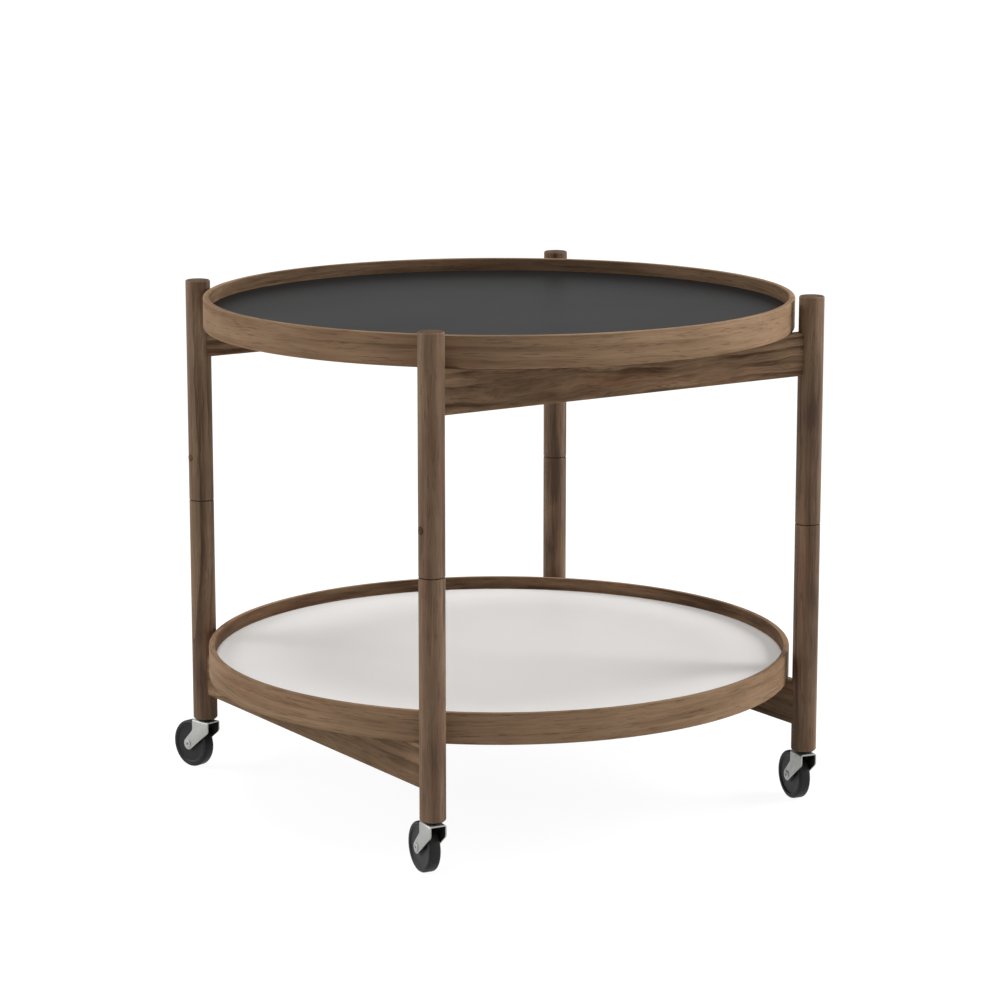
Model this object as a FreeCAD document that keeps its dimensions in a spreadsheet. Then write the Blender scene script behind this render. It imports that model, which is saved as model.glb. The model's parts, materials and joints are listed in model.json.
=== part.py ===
import FreeCAD, Part
import math
import os
import Sketcher

# Round tray table on casters. Millimetres, +Z up, origin on the floor under the middle of the trays.
# Legs by corner: front (-x, -y), right (+x, -y), back (+x, +y), left (-x, +y).
# Upper rails run along X and lower rails along Y, so the frame folds like a parallelogram about its legs.

doc = FreeCAD.newDocument("tray_table")

# Driving dimensions
SIZES = (
    # trays
    ("tray_diameter", 600),
    ("rim_height", 31),
    ("rim_wall", 6.5),
    ("rim_edge", 1.2),
    ("groove_depth", 3),
    ("core_thickness", 3),
    ("laminate_thickness", 0.6),
    # frame
    ("tray_gap", 5.45),
    ("leg_diameter", 25.5),
    ("lower_leg_length", 236),
    ("upper_leg_length", 231.2),
    ("leg_proud", 6),
    ("foot_room", 3.5),
    ("leg_edge", 1.8),
    ("joint_chamfer", 0.5),
    ("rail_depth", 42.5),
    ("rail_thickness", 16),
    ("rail_inset", 0.25),
    ("rail_edge", 1.2),
    ("dowel_diameter", 8),
    ("dowel_length", 30),
    ("dowel_spacing", 20),
    # pivots inside the legs
    ("pin_diameter", 10),
    ("pin_seat", 50),
    ("pin_over_screw", 13),
    ("pin_end_room", 2),
    ("pin_chamfer", 1),
    ("pin_groove_depth", 1.5),
    ("washer_thickness", 0.8),
    ("washer_inset", 2),
    ("screw_height", 45),
    ("screw_diameter", 4),
    ("plug_diameter", 8),
    ("plug_depth", 3.5),
    ("plug_dome", 1.2),
    # casters
    ("wheel_diameter", 50),
    ("tyre_width", 12.4),
    ("tyre_thickness", 3.5),
    ("tyre_edge", 2.4),
    ("web_recess", 1.2),
    ("hub_diameter", 15),
    ("hub_proud", 0.7),
    ("hub_play", 0.3),
    ("axle_diameter", 6),
    ("axle_head", 0.8),
    ("axle_head_lip", 1.2),
    ("axle_hollow_diameter", 2.6),
    ("axle_hollow_depth", 1.6),
    ("trail", 19),
    ("fork_sheet", 1.6),
    ("fork_inner_bend", 0.8),
    ("fork_length", 24),
    ("fork_headroom", 1.8),
    ("fork_front_drop", 11.5),
    ("fork_back_drop", 12),
    ("fork_toe_radius", 6.2),
    ("fork_corner", 5),
    ("stem_diameter", 8),
    ("stem_end_room", 3),
    ("stem_head_room", 1.6),
    ("stem_head", 1.4),
    ("race_diameter", 14),
    ("race_height", 1.75),
    ("socket_wall", 1.5),
    ("socket_depth", 24),
    ("flange_inset", 2),
    ("socket_flange", 0.8),
    # how each caster trails at rest, in degrees from +X
    ("front_caster_turn", 83),
    ("right_caster_turn", 79),
    ("back_caster_turn", 92),
    ("left_caster_turn", 104),
    # clearances
    ("glue_line", 0.05),
    ("seat_play", 0.05),
    ("running_play", 0.05),
)
sheet = doc.addObject("Spreadsheet::Sheet", "Sizes")
for row, (alias, value) in enumerate(SIZES, start=1):
    sheet.set(f"A{row}", alias)
    sheet.set(f"B{row}", str(value))
    sheet.setAlias(f"B{row}", alias)
doc.recompute()


ALIASES = {alias for alias, value in SIZES}
# how near two lengths have to be to count as the same place
SAME_PLACE = 1e-4


def cells(expression):
    """Prefix each size's name with its sheet, so that an expression can be written in plain names."""
    words = []
    word = ""
    for letter in expression + " ":
        if letter.isalnum() or letter in "_.":
            word += letter
            continue
        words.append(f"Sizes.{word}" if word in ALIASES else word)
        words.append(letter)
        word = ""
    return "".join(words).strip()


def value_of(expression):
    """The present value of an expression in plain names."""
    return float(sheet.evalExpression(cells(expression)))


# Heights and places worked out from the driving dimensions
LEG_R = "leg_diameter / 2"
LEG_REACH = f"(tray_diameter / 2 + tray_gap + {LEG_R}) / sqrt(2)"
RAIL_INNER = f"({LEG_R} - rail_inset)"
RAIL_OUTER = f"({RAIL_INNER} - rail_thickness)"
RAIL_MIDDLE = f"({RAIL_INNER} - rail_thickness / 2)"
FORK_UNDER = "wheel_diameter + fork_headroom"
FORK_TOP = f"{FORK_UNDER} + fork_sheet"
RACE_BASE = f"{FORK_TOP} + running_play"
FLANGE_BASE = f"{RACE_BASE} + race_height"
LEG_BASE = f"{FLANGE_BASE} + socket_flange"
LEG_FOOT = "(socket_depth + foot_room + rail_depth)"
LEG_HEAD = "(rim_height + leg_proud)"
LOWER_SEAT = f"{LEG_BASE} + {LEG_FOOT}"
JOINT_BASE = f"{LEG_BASE} + lower_leg_length"
UPPER_BASE = f"{JOINT_BASE} + washer_thickness + seat_play"
UPPER_SEAT = f"{UPPER_BASE} + upper_leg_length - {LEG_HEAD}"
PIN_REACH = "(screw_height + pin_over_screw)"
SOCKET_WALL = "(stem_diameter / 2 + glue_line + socket_wall)"
HUB_WIDTH = "(tyre_width + 2 * hub_proud)"
WEB_THICKNESS = "(tyre_width - 2 * web_recess)"
FORK_INNER = f"({HUB_WIDTH} + 2 * hub_play)"
FORK_WIDTH = f"({FORK_INNER} + 2 * fork_sheet)"
PLATE_STACK = "(core_thickness + 2 * laminate_thickness)"

# A leg's corner of the table, as signs of x and y
CORNERS = {"front": (-1, -1), "right": (1, -1), "back": (1, 1), "left": (-1, 1)}

nodes = []


def bind(thing, name, expression):
    """Tie one property of an object to an expression in plain names."""
    thing.setExpression(name, cells(expression))


def place(thing, x="0", y="0", z="0", turn="0"):
    """Put an object at a point, turned about the vertical, all tied to the sheet."""
    thing.Placement = FreeCAD.Placement(FreeCAD.Vector(), FreeCAD.Rotation(FreeCAD.Vector(0, 0, 1), 0))
    bind(thing, "Placement.Base.x", x)
    bind(thing, "Placement.Base.y", y)
    bind(thing, "Placement.Base.z", z)
    bind(thing, "Placement.Rotation.Angle", turn)


def keep(thing, label):
    """Name a finished sub-part, which also names its file."""
    thing.Label = label
    nodes.append(thing)
    return thing


def new_body(name):
    return doc.addObject("PartDesign::Body", name)


def new_sketch(body, role, offset="0"):
    """A sketch on one of the body's own origin planes, moved along its normal by an offset."""
    made = body.newObject("Sketcher::SketchObject", "sketch")
    plane = [item for item in body.Origin.OriginFeatures if item.Role == role][0]
    made.AttachmentSupport = (plane, [""])
    made.MapMode = "FlatFace"
    bind(made, "AttachmentOffset.Base.z", offset)
    return made


def pin_point(sketch, element, end, x, y):
    """Hold a sketch point at two expressions."""
    for kind, expression, axis in (("DistanceX", x, -2), ("DistanceY", y, -1)):
        if expression == "0":
            sketch.addConstraint(Sketcher.Constraint("PointOnObject", element, end, axis))
            continue
        measure = Sketcher.Constraint(kind, element, end, value_of(expression))
        bind(sketch, f"Constraints[{sketch.addConstraint(measure)}]", expression)


def draw_outline(sketch, points):
    """A closed outline of straight lines through points given as pairs of expressions."""
    spots = [FreeCAD.Vector(value_of(x), value_of(y), 0) for x, y in points]
    count = len(points)
    for index in range(count):
        sketch.addGeometry(Part.LineSegment(spots[index], spots[(index + 1) % count]))
    for index in range(count):
        sketch.addConstraint(Sketcher.Constraint("Coincident", index, 2, (index + 1) % count, 1))
    for index, (x, y) in enumerate(points):
        pin_point(sketch, index, 1, x, y)


def draw_circle(sketch, x, y, radius):
    """A circle with its middle and radius given as expressions."""
    middle = FreeCAD.Vector(value_of(x), value_of(y), 0)
    ring = sketch.addGeometry(Part.Circle(middle, FreeCAD.Vector(0, 0, 1), value_of(radius)))
    pin_point(sketch, ring, 3, x, y)
    size = Sketcher.Constraint("Radius", ring, value_of(radius))
    bind(sketch, f"Constraints[{sketch.addConstraint(size)}]", radius)


def revolve(body, points, role="XZ_Plane", axis="V_Axis"):
    """A turned solid from a closed outline."""
    profile = new_sketch(body, role)
    draw_outline(profile, points)
    turned = body.newObject("PartDesign::Revolution", "turned")
    turned.Profile = profile
    turned.ReferenceAxis = (profile, [axis])
    turned.Angle = 360
    doc.recompute()
    return turned


def pad(body, profile, length, both_ways=False):
    made = body.newObject("PartDesign::Pad", "pad")
    made.Profile = profile
    made.SideType = "Symmetric" if both_ways else "One side"
    bind(made, "Length", length)
    doc.recompute()
    return made


def pocket(body, profile, reverse=False, both_ways=False):
    """A cut through all that lies on one side of its sketch, or on both, checked to take something away."""
    before = body.Shape.Volume
    made = body.newObject("PartDesign::Pocket", "pocket")
    made.Profile = profile
    made.Type = "ThroughAll"
    made.SideType = "Two sides" if both_ways else "One side"
    made.Type2 = "ThroughAll"
    made.Reversed = reverse
    doc.recompute()
    if body.Shape.Volume > before - SAME_PLACE:
        raise RuntimeError(f"{body.Name}: a pocket cut nothing")
    return made


def fillet(body, radius, chosen):
    """Round the edges of the body's present shape that the test picks."""
    names = [f"Edge{index}" for index, edge in enumerate(body.Shape.Edges, start=1) if chosen(edge)]
    if not names:
        raise RuntimeError(f"{body.Name}: no edge to round")
    sharp = body.Tip
    made = body.newObject("PartDesign::Fillet", "rounded")
    made.Base = (sharp, names)
    bind(made, "Radius", radius)
    doc.recompute()
    return made


def is_ring(edge, radius, height, axis="z"):
    """Whether an edge is a circle of a radius at a height along its axis."""
    if not isinstance(edge.Curve, Part.Circle):
        return False
    level = getattr(edge.Curve.Center, axis)
    return abs(edge.Curve.Radius - radius) < SAME_PLACE and abs(level - height) < SAME_PLACE


def is_line(edge, along, **at):
    """Whether an edge is straight along one axis and lies at the given other coordinates."""
    if not isinstance(edge.Curve, Part.Line):
        return False
    ends = [vertex.Point for vertex in edge.Vertexes]
    run = ends[1] - ends[0]
    if abs(abs(getattr(run, along)) - run.Length) > SAME_PLACE:
        return False
    return all(abs(getattr(ends[0], axis) - spot) < SAME_PLACE for axis, spot in at.items())


def group(label, members):
    """Several like pieces that share one node."""
    made = doc.addObject("Part::Compound", label)
    made.Links = members
    return keep(made, label)


def make_tray(name, base, dark_side_up):
    """A tray: grooved bent-wood rim, a board held in the groove, and laminate on both of its faces."""
    outer = "tray_diameter / 2"
    inner = f"{outer} - rim_wall"
    groove = f"{inner} + groove_depth"
    low = "(rim_height - core_thickness) / 2 - glue_line"
    high = "(rim_height + core_thickness) / 2 + glue_line"
    rim = new_body(f"{name}_rim")
    revolve(rim, (
        (inner, "0"), (outer, "0"), (outer, "rim_height"), (inner, "rim_height"),
        (inner, high), (groove, high), (groove, low), (inner, low),
    ))
    tall = value_of("rim_height")
    radii = (value_of(outer), value_of(inner))
    fillet(rim, "rim_edge", lambda edge: any(is_ring(edge, r, z) for r in radii for z in (0, tall)))
    place(rim, z=base)
    keep(rim, f"{name}_rim")

    lower_face = f"{base} + (rim_height - {PLATE_STACK}) / 2"
    colours = ("light", "dark") if dark_side_up else ("dark", "light")
    layers = (
        (f"{name}_{colours[0]}_laminate", inner, lower_face, "laminate_thickness"),
        (f"{name}_core", groove, f"{lower_face} + laminate_thickness", "core_thickness"),
        (f"{name}_{colours[1]}_laminate", inner, f"{lower_face} + laminate_thickness + core_thickness",
         "laminate_thickness"),
    )
    for label, wall, height, thickness in layers:
        layer = new_body(label)
        disc = new_sketch(layer, "XY_Plane")
        draw_circle(disc, "0", "0", f"{wall} - glue_line")
        pad(layer, disc, thickness)
        place(layer, z=height)
        keep(layer, label)


def bore_for_dowels(body, side, start, level):
    """Two holes one above the other, from a plane across the body out through its end towards side."""
    holes = new_sketch(body, "YZ_Plane", start)
    for up in (1, -1):
        height = f"{level} + {up} * dowel_spacing / 2"
        draw_circle(holes, RAIL_MIDDLE, height, "dowel_diameter / 2 + glue_line")
    pocket(body, holes, reverse=side > 0)


def dowel_inner_end(side):
    """How far a dowel's end lies past the leg's axis, with half the dowel in the leg."""
    return f"{side} * (sqrt(({LEG_R}) ^ 2 - ({RAIL_MIDDLE}) ^ 2) - dowel_length / 2)"


def make_upper_leg(label, side):
    """An upper leg on its own axis, standing on z = 0, with its rail towards side along X."""
    leg = new_body(label)
    bore = "pin_diameter / 2 + running_play"
    depth = f"{PIN_REACH} + pin_end_room"
    revolve(leg, (
        (bore, "0"), (f"{LEG_R} - joint_chamfer", "0"), (LEG_R, "joint_chamfer"),
        (LEG_R, "upper_leg_length"), ("0", "upper_leg_length"), ("0", depth), (bore, depth),
    ))
    radius = value_of(LEG_R)
    top = value_of("upper_leg_length")
    fillet(leg, "leg_edge", lambda edge: is_ring(edge, radius, top))
    bore_for_dowels(leg, side, f"{dowel_inner_end(side)} - {side} * glue_line",
                    f"upper_leg_length - {LEG_HEAD} - rail_depth / 2")
    screw_hole = new_sketch(leg, "YZ_Plane")
    draw_circle(screw_hole, "0", "screw_height", "screw_diameter / 2 + glue_line")
    pocket(leg, screw_hole, reverse=side < 0)
    plug_hole = new_sketch(leg, "YZ_Plane", f"{-side} * ({LEG_R} - plug_depth - glue_line)")
    draw_circle(plug_hole, "0", "screw_height", "plug_diameter / 2 + glue_line")
    pocket(leg, plug_hole, reverse=side < 0)
    return leg


def make_lower_leg(label, side):
    """A lower leg on its own axis, standing on z = 0, bored for the pivot pin and the caster's socket."""
    leg = new_body(label)
    pin_bore = "pin_diameter / 2 + glue_line"
    pin_floor = "lower_leg_length - pin_seat - glue_line"
    socket_bore = f"{SOCKET_WALL} + glue_line"
    socket_roof = "socket_depth + glue_line"
    revolve(leg, (
        (socket_bore, "0"), (LEG_R, "0"), (LEG_R, "lower_leg_length - joint_chamfer"),
        (f"{LEG_R} - joint_chamfer", "lower_leg_length"), (pin_bore, "lower_leg_length"),
        (pin_bore, pin_floor), ("0", pin_floor), ("0", socket_roof), (socket_bore, socket_roof),
    ))
    radius = value_of(LEG_R)
    fillet(leg, "leg_edge", lambda edge: is_ring(edge, radius, 0))
    bore_for_dowels(leg, side, f"{dowel_inner_end(side)} - {side} * glue_line",
                    f"{LEG_FOOT} - rail_depth / 2")
    return leg


def make_rail(label):
    """A rail between two legs along X, its top at z = 0, scribed to the legs and bored for dowels."""
    rail = new_body(label)
    section = new_sketch(rail, "YZ_Plane")
    draw_outline(section, (
        (RAIL_OUTER, "-rail_depth"), (RAIL_INNER, "-rail_depth"), (RAIL_INNER, "0"), (RAIL_OUTER, "0"),
    ))
    pad(rail, section, f"2 * {LEG_REACH}", both_ways=True)
    fillet(rail, "rail_edge", lambda edge: is_line(edge, "x"))
    scribes = new_sketch(rail, "XY_Plane")
    for side in (1, -1):
        draw_circle(scribes, f"{side} * {LEG_REACH}", "0", f"{LEG_R} + glue_line")
    pocket(rail, scribes, both_ways=True)
    for side in (1, -1):
        # from the dowel's inner end out through the scribed end
        start = f"{side} * ({LEG_REACH} + {dowel_inner_end(-1)} - dowel_length - glue_line)"
        bore_for_dowels(rail, side, start, "-rail_depth / 2")
    return rail


def make_dowel(name, x, y, z, turn):
    """One dowel from a point along the frame's own X."""
    dowel = doc.addObject("Part::Cylinder", name)
    bind(dowel, "Radius", "dowel_diameter / 2")
    bind(dowel, "Height", "dowel_length")
    laid_along_x = FreeCAD.Rotation(FreeCAD.Vector(0, 1, 0), 90)
    turned = FreeCAD.Rotation(FreeCAD.Vector(0, 0, 1), turn)
    dowel.Placement = FreeCAD.Placement(FreeCAD.Vector(), turned * laid_along_x)
    bind(dowel, "Placement.Base.x", x)
    bind(dowel, "Placement.Base.y", y)
    bind(dowel, "Placement.Base.z", z)
    return dowel


def make_pin(name):
    """A steel pivot pin with a running groove for the locking screw, z = 0 at the leg joint."""
    pin = new_body(name)
    radius = "pin_diameter / 2"
    root = f"{radius} - pin_groove_depth"
    groove = "washer_thickness + seat_play + screw_height"
    half = "(screw_diameter / 2 + running_play)"
    tip = f"washer_thickness + seat_play + {PIN_REACH}"
    revolve(pin, (
        ("0", "-pin_seat"), (f"{radius} - pin_chamfer", "-pin_seat"), (radius, "-pin_seat + pin_chamfer"),
        (radius, f"{groove} - {half}"), (root, f"{groove} - {half}"), (root, f"{groove} + {half}"),
        (radius, f"{groove} + {half}"), (radius, f"{tip} - pin_chamfer"),
        (f"{radius} - pin_chamfer", tip), ("0", tip),
    ))
    return pin


def make_washer(name):
    """A thin washer between the two halves of a leg."""
    washer = new_body(name)
    hole = "pin_diameter / 2 + running_play"
    edge = f"{LEG_R} - washer_inset"
    revolve(washer, ((hole, "0"), (edge, "0"), (edge, "washer_thickness"), (hole, "washer_thickness")))
    return washer


def make_screw(name):
    """A headless locking screw along -X, from the pin's groove to the plug's seat."""
    screw = new_body(name)
    tip = "pin_diameter / 2 - pin_groove_depth + running_play"
    back = f"{LEG_R} - plug_depth - glue_line"
    revolve(screw, (
        (f"-({tip})", "0"), (f"-({back})", "0"), (f"-({back})", "screw_diameter / 2"),
        (f"-({tip})", "screw_diameter / 2"),
    ), axis="H_Axis")
    return screw


def make_plug(name):
    """A domed wooden plug over the locking screw, along -X."""
    plug = new_body(name)
    seat = f"{LEG_R} - plug_depth"
    shoulder = f"{LEG_R} + plug_dome / 2"
    crown = f"{LEG_R} + plug_dome"
    revolve(plug, (
        (f"-({seat})", "0"), (f"-({crown})", "0"), (f"-({crown})", "plug_diameter / 4"),
        (f"-({shoulder})", "plug_diameter / 2"), (f"-({seat})", "plug_diameter / 2"),
    ), axis="H_Axis")
    return plug


def make_frame(level, side_name, turn, legs):
    """One of the four hinged frames: two legs and a rail, turned about the table's middle.

    In the frame's own view its rail runs along X at y = -LEG_REACH, with legs[0] at -x and legs[1] at +x.
    """
    spin = math.radians(turn)
    across = (round(math.cos(spin)), round(math.sin(spin)))

    def at(x, y):
        """A point of the frame's own view, as expressions of the table's x and y."""
        return (f"{across[0]} * ({x}) - {across[1]} * ({y})", f"{across[1]} * ({x}) + {across[0]} * ({y})")

    upper = level == "upper"
    base, seat = (UPPER_BASE, UPPER_SEAT) if upper else (LEG_BASE, LOWER_SEAT)
    rail = make_rail(f"{level}_rail_{side_name}")
    x, y = at("0", f"-{LEG_REACH}")
    place(rail, x, y, seat, str(turn))
    keep(rail, rail.Name)

    dowels = []
    for side, corner in zip((1, -1), legs):
        make_leg = make_upper_leg if upper else make_lower_leg
        leg = make_leg(f"{level}_leg_{corner}", side)
        x, y = at(f"{-side} * {LEG_REACH}", f"-{LEG_REACH}")
        place(leg, x, y, base, str(turn))
        keep(leg, leg.Name)
        start = f"{-side} * {LEG_REACH} + {dowel_inner_end(side)}"
        near_end = start if side > 0 else f"{start} - dowel_length"
        for up in (1, -1):
            x, y = at(near_end, f"-{LEG_REACH} + {RAIL_MIDDLE}")
            z = f"{seat} - rail_depth / 2 + {up} * dowel_spacing / 2"
            dowels.append(make_dowel(f"dowel_{corner}", x, y, z, turn))
    group(f"{level}_dowels_{side_name}", dowels)


def set_on_legs(label, makers, height, corners):
    """Like small pieces on the axes of two legs, in one node."""
    members = []
    for corner in corners:
        x_sign, y_sign = CORNERS[corner]
        piece = makers(f"{label}_{corner}")
        # pieces made along -X face outwards along the upper rail, away from the other leg
        turn = "180" if x_sign > 0 else "0"
        place(piece, f"{x_sign} * {LEG_REACH}", f"{y_sign} * {LEG_REACH}", height, turn)
        members.append(piece)
    group(label, members)


def make_socket(name):
    """A flanged sleeve for the caster's stem, driven into the leg's lower end, flange down from z = 0."""
    sleeve = new_body(name)
    hole = "stem_diameter / 2 + glue_line"
    edge = f"{LEG_R} - flange_inset"
    revolve(sleeve, (
        (hole, "-socket_flange"), (edge, "-socket_flange"), (edge, "0"), (SOCKET_WALL, "0"),
        (SOCKET_WALL, "socket_depth"), (hole, "socket_depth"),
    ))
    return sleeve


def make_stem(label):
    """The caster's stem: up into the socket, down through the race and the fork, headed under the fork."""
    stem = new_body(label)
    radius = "stem_diameter / 2"
    head = f"({FORK_INNER} / 2 - stem_head_room)"
    under = f"{FORK_UNDER} - running_play"
    top = f"{LEG_BASE} + socket_depth - stem_end_room"
    revolve(stem, (
        ("0", f"{under} - stem_head"), (f"{head} - stem_head / 2", f"{under} - stem_head"),
        (head, f"{under} - stem_head / 2"), (head, under), (radius, under),
        (radius, f"{top} - stem_head"), (f"{radius} - stem_head / 2", top), ("0", top),
    ))
    return stem


def make_race(label):
    """The swivel race between the fork and the socket's flange."""
    race = new_body(label)
    hole = "stem_diameter / 2 + glue_line"
    revolve(race, (
        (hole, "0"), ("race_diameter / 2", "0"), ("race_diameter / 2", "race_height"), (hole, "race_height"),
    ))
    return race


def make_fork(label):
    """The caster's fork, bent from sheet: plate at the top, two arms that trail back along -X to the axle."""
    fork = new_body(label)
    side_view = new_sketch(fork, "XZ_Plane")
    front = "fork_length / 2"
    axle_z = "wheel_diameter / 2"
    corners = (
        (front, f"{FORK_TOP} - fork_front_drop"), (front, FORK_TOP),
        (f"-{front}", FORK_TOP), (f"-{front}", f"{FORK_TOP} - fork_back_drop"),
    )
    spots = [FreeCAD.Vector(value_of(x), value_of(y), 0) for x, y in corners]
    middle = FreeCAD.Vector(-value_of("trail"), value_of(axle_z), 0)
    toe = value_of("fork_toe_radius")
    # first guesses of where the arm's edges meet the round toe
    low = middle + FreeCAD.Vector(toe * math.cos(math.radians(-55)), toe * math.sin(math.radians(-55)), 0)
    high = middle + FreeCAD.Vector(toe * math.cos(math.radians(145)), toe * math.sin(math.radians(145)), 0)
    far = middle + FreeCAD.Vector(toe * math.cos(math.radians(225)), toe * math.sin(math.radians(225)), 0)
    outline = [spots[0], spots[1], spots[2], spots[3], high]
    for first, second in zip(outline, outline[1:]):
        side_view.addGeometry(Part.LineSegment(first, second))
    side_view.addGeometry(Part.Arc(high, far, low))
    side_view.addGeometry(Part.LineSegment(low, spots[0]))
    for first, second in ((0, 1), (1, 2), (2, 3)):
        side_view.addConstraint(Sketcher.Constraint("Coincident", first, 2, second, 1))
    side_view.addConstraint(Sketcher.Constraint("Coincident", 5, 2, 0, 1))
    for index, (x, y) in enumerate(corners):
        pin_point(side_view, index, 1, x, y)
    arc_ends = (1, 2) if (side_view.Geometry[4].StartPoint - high).Length < SAME_PLACE else (2, 1)
    side_view.addConstraint(Sketcher.Constraint("Tangent", 3, 2, 4, arc_ends[0]))
    side_view.addConstraint(Sketcher.Constraint("Tangent", 5, 1, 4, arc_ends[1]))
    pin_point(side_view, 4, 3, "-trail", axle_z)
    size = Sketcher.Constraint("Radius", 4, toe)
    bind(side_view, f"Constraints[{side_view.addConstraint(size)}]", "fork_toe_radius")
    pad(fork, side_view, FORK_WIDTH, both_ways=True)
    corner_x = value_of(front)
    front_z = value_of(corners[0][1])
    back_z = value_of(corners[3][1])
    fillet(fork, "fork_corner", lambda edge: (is_line(edge, "y", x=corner_x, z=front_z)
                                             or is_line(edge, "y", x=-corner_x, z=back_z)))
    half_width = value_of(f"{FORK_WIDTH} / 2")
    top_z = value_of(FORK_TOP)
    fillet(fork, "fork_inner_bend + fork_sheet", lambda edge: (is_line(edge, "x", y=half_width, z=top_z)
                                                              or is_line(edge, "x", y=-half_width, z=top_z)))
    channel = new_sketch(fork, "YZ_Plane")
    half = f"{FORK_INNER} / 2"
    draw_outline(channel, (
        (f"-{half}", FORK_UNDER), (f"-{half}", "0"), (half, "0"), (half, FORK_UNDER),
    ))
    pocket(fork, channel, both_ways=True)
    inner_y = value_of(half)
    under_z = value_of(FORK_UNDER)
    fillet(fork, "fork_inner_bend", lambda edge: (is_line(edge, "x", y=inner_y, z=under_z)
                                                 or is_line(edge, "x", y=-inner_y, z=under_z)))
    axle_hole = new_sketch(fork, "XZ_Plane")
    draw_circle(axle_hole, "-trail", axle_z, "axle_diameter / 2 + glue_line")
    pocket(fork, axle_hole, both_ways=True)
    stem_hole = new_sketch(fork, "XY_Plane")
    draw_circle(stem_hole, "0", "0", "stem_diameter / 2 + running_play")
    pocket(fork, stem_hole, both_ways=True)
    return fork


def make_axle(label):
    """The riveted axle along Y, with a rolled head and a hollow at each end."""
    axle = new_body(label)
    radius = "axle_diameter / 2"
    head = f"{radius} + axle_head_lip"
    hollow = "axle_hollow_diameter / 2"
    arm = f"({FORK_WIDTH} / 2 + glue_line)"
    end = f"({arm} + axle_head)"
    right = (
        (hollow, f"{end} - axle_hollow_depth"), (hollow, end), (f"{head} - axle_head / 2", end),
        (head, f"{end} - axle_head / 2"), (head, arm), (radius, arm),
    )
    points = [("0", f"{end} - axle_hollow_depth")] + list(right)
    left = [(r, f"-({along})") for r, along in reversed(points)]
    revolve(axle, [(along, r) for r, along in points + left], role="YZ_Plane", axis="H_Axis")
    return axle


def make_wheel_core(label):
    """The wheel's hard core, turned about Y: rim, thinner web and a wide hub."""
    core = new_body(label)
    bore = "axle_diameter / 2 + running_play"
    rim = "wheel_diameter / 2 - tyre_thickness - glue_line"
    hub = "hub_diameter / 2"
    half = (
        (bore, f"{HUB_WIDTH} / 2"), (hub, f"{HUB_WIDTH} / 2"),
        (f"{hub} + web_recess", f"{WEB_THICKNESS} / 2"), (f"{rim} - 2 * web_recess", f"{WEB_THICKNESS} / 2"),
        (f"{rim} - web_recess", "tyre_width / 2"), (rim, "tyre_width / 2"),
    )
    mirrored = [(r, f"-{along}") for r, along in reversed(half)]
    revolve(core, [(along, r) for r, along in list(half) + mirrored], role="YZ_Plane", axis="H_Axis")
    return core


def make_tyre(label):
    """The tyre round the core, its tread rounded at both edges."""
    tyre = new_body(label)
    outer = "wheel_diameter / 2"
    inner = f"{outer} - tyre_thickness"
    revolve(tyre, (
        ("-tyre_width / 2", inner), ("tyre_width / 2", inner), ("tyre_width / 2", outer),
        ("-tyre_width / 2", outer),
    ), role="YZ_Plane", axis="H_Axis")
    radius = value_of(outer)
    edge_y = value_of("tyre_width / 2")
    fillet(tyre, "tyre_edge", lambda edge: any(is_ring(edge, radius, y, "y") for y in (edge_y, -edge_y)))
    return tyre


def make_caster(corner):
    """One caster under its leg, turned about the leg's axis to where it trails at rest."""
    x_sign, y_sign = CORNERS[corner]
    x = f"{x_sign} * {LEG_REACH}"
    y = f"{y_sign} * {LEG_REACH}"
    # the fork trails along its own -X
    turn = f"{corner}_caster_turn + 180"
    stem = make_stem(f"caster_stem_{corner}")
    place(stem, x, y, "0", turn)
    race = make_race(f"caster_race_{corner}")
    place(race, x, y, RACE_BASE, turn)
    fork = make_fork(f"caster_fork_{corner}")
    place(fork, x, y, "0", turn)
    pieces = [stem, race, fork]
    axle_x = f"{x} + trail * cos({corner}_caster_turn * 1deg)"
    axle_y = f"{y} + trail * sin({corner}_caster_turn * 1deg)"
    for maker, label in ((make_axle, "axle"), (make_wheel_core, "wheel_core"), (make_tyre, "tyre")):
        piece = maker(f"caster_{label}_{corner}")
        place(piece, axle_x, axle_y, "wheel_diameter / 2", turn)
        pieces.append(piece)
    for piece in pieces:
        keep(piece, piece.Name)


make_tray("top_tray", f"{UPPER_SEAT} + seat_play", dark_side_up=True)
make_tray("lower_tray", f"{LOWER_SEAT} + seat_play", dark_side_up=False)

make_frame("upper", "front", 0, ("front", "right"))
make_frame("upper", "back", 180, ("back", "left"))
make_frame("lower", "left", -90, ("left", "front"))
make_frame("lower", "right", 90, ("right", "back"))

LOWER_PAIRS = {"left": ("front", "left"), "right": ("right", "back")}
UPPER_PAIRS = {"front": ("front", "right"), "back": ("left", "back")}
for side_name, corners in LOWER_PAIRS.items():
    set_on_legs(f"pivot_pins_{side_name}", make_pin, JOINT_BASE, corners)
    set_on_legs(f"pivot_washers_{side_name}", make_washer, JOINT_BASE, corners)
    set_on_legs(f"caster_sockets_{side_name}", make_socket, LEG_BASE, corners)
for side_name, corners in UPPER_PAIRS.items():
    set_on_legs(f"locking_screws_{side_name}", make_screw, f"{UPPER_BASE} + screw_height", corners)
    set_on_legs(f"screw_plugs_{side_name}", make_plug, f"{UPPER_BASE} + screw_height", corners)

for corner in CORNERS:
    make_caster(corner)

doc.recompute()

# Every object has to be sound before anything is written
for item in doc.Objects:
    if "Invalid" in item.State or "Error" in item.State:
        raise RuntimeError(f"{item.Label} failed: {item.State}")
for node in nodes:
    if node.Shape.isNull() or not node.Shape.isValid():
        raise RuntimeError(f"{node.Label} has no sound shape")

os.makedirs("parts", exist_ok=True)
for node in nodes:
    node.Shape.exportStep(f"parts/{node.Label}.step")
print(f"{len(nodes)} sub-parts, {sum(len(node.Shape.Solids) for node in nodes)} solids")
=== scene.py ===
import json
import math

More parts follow.
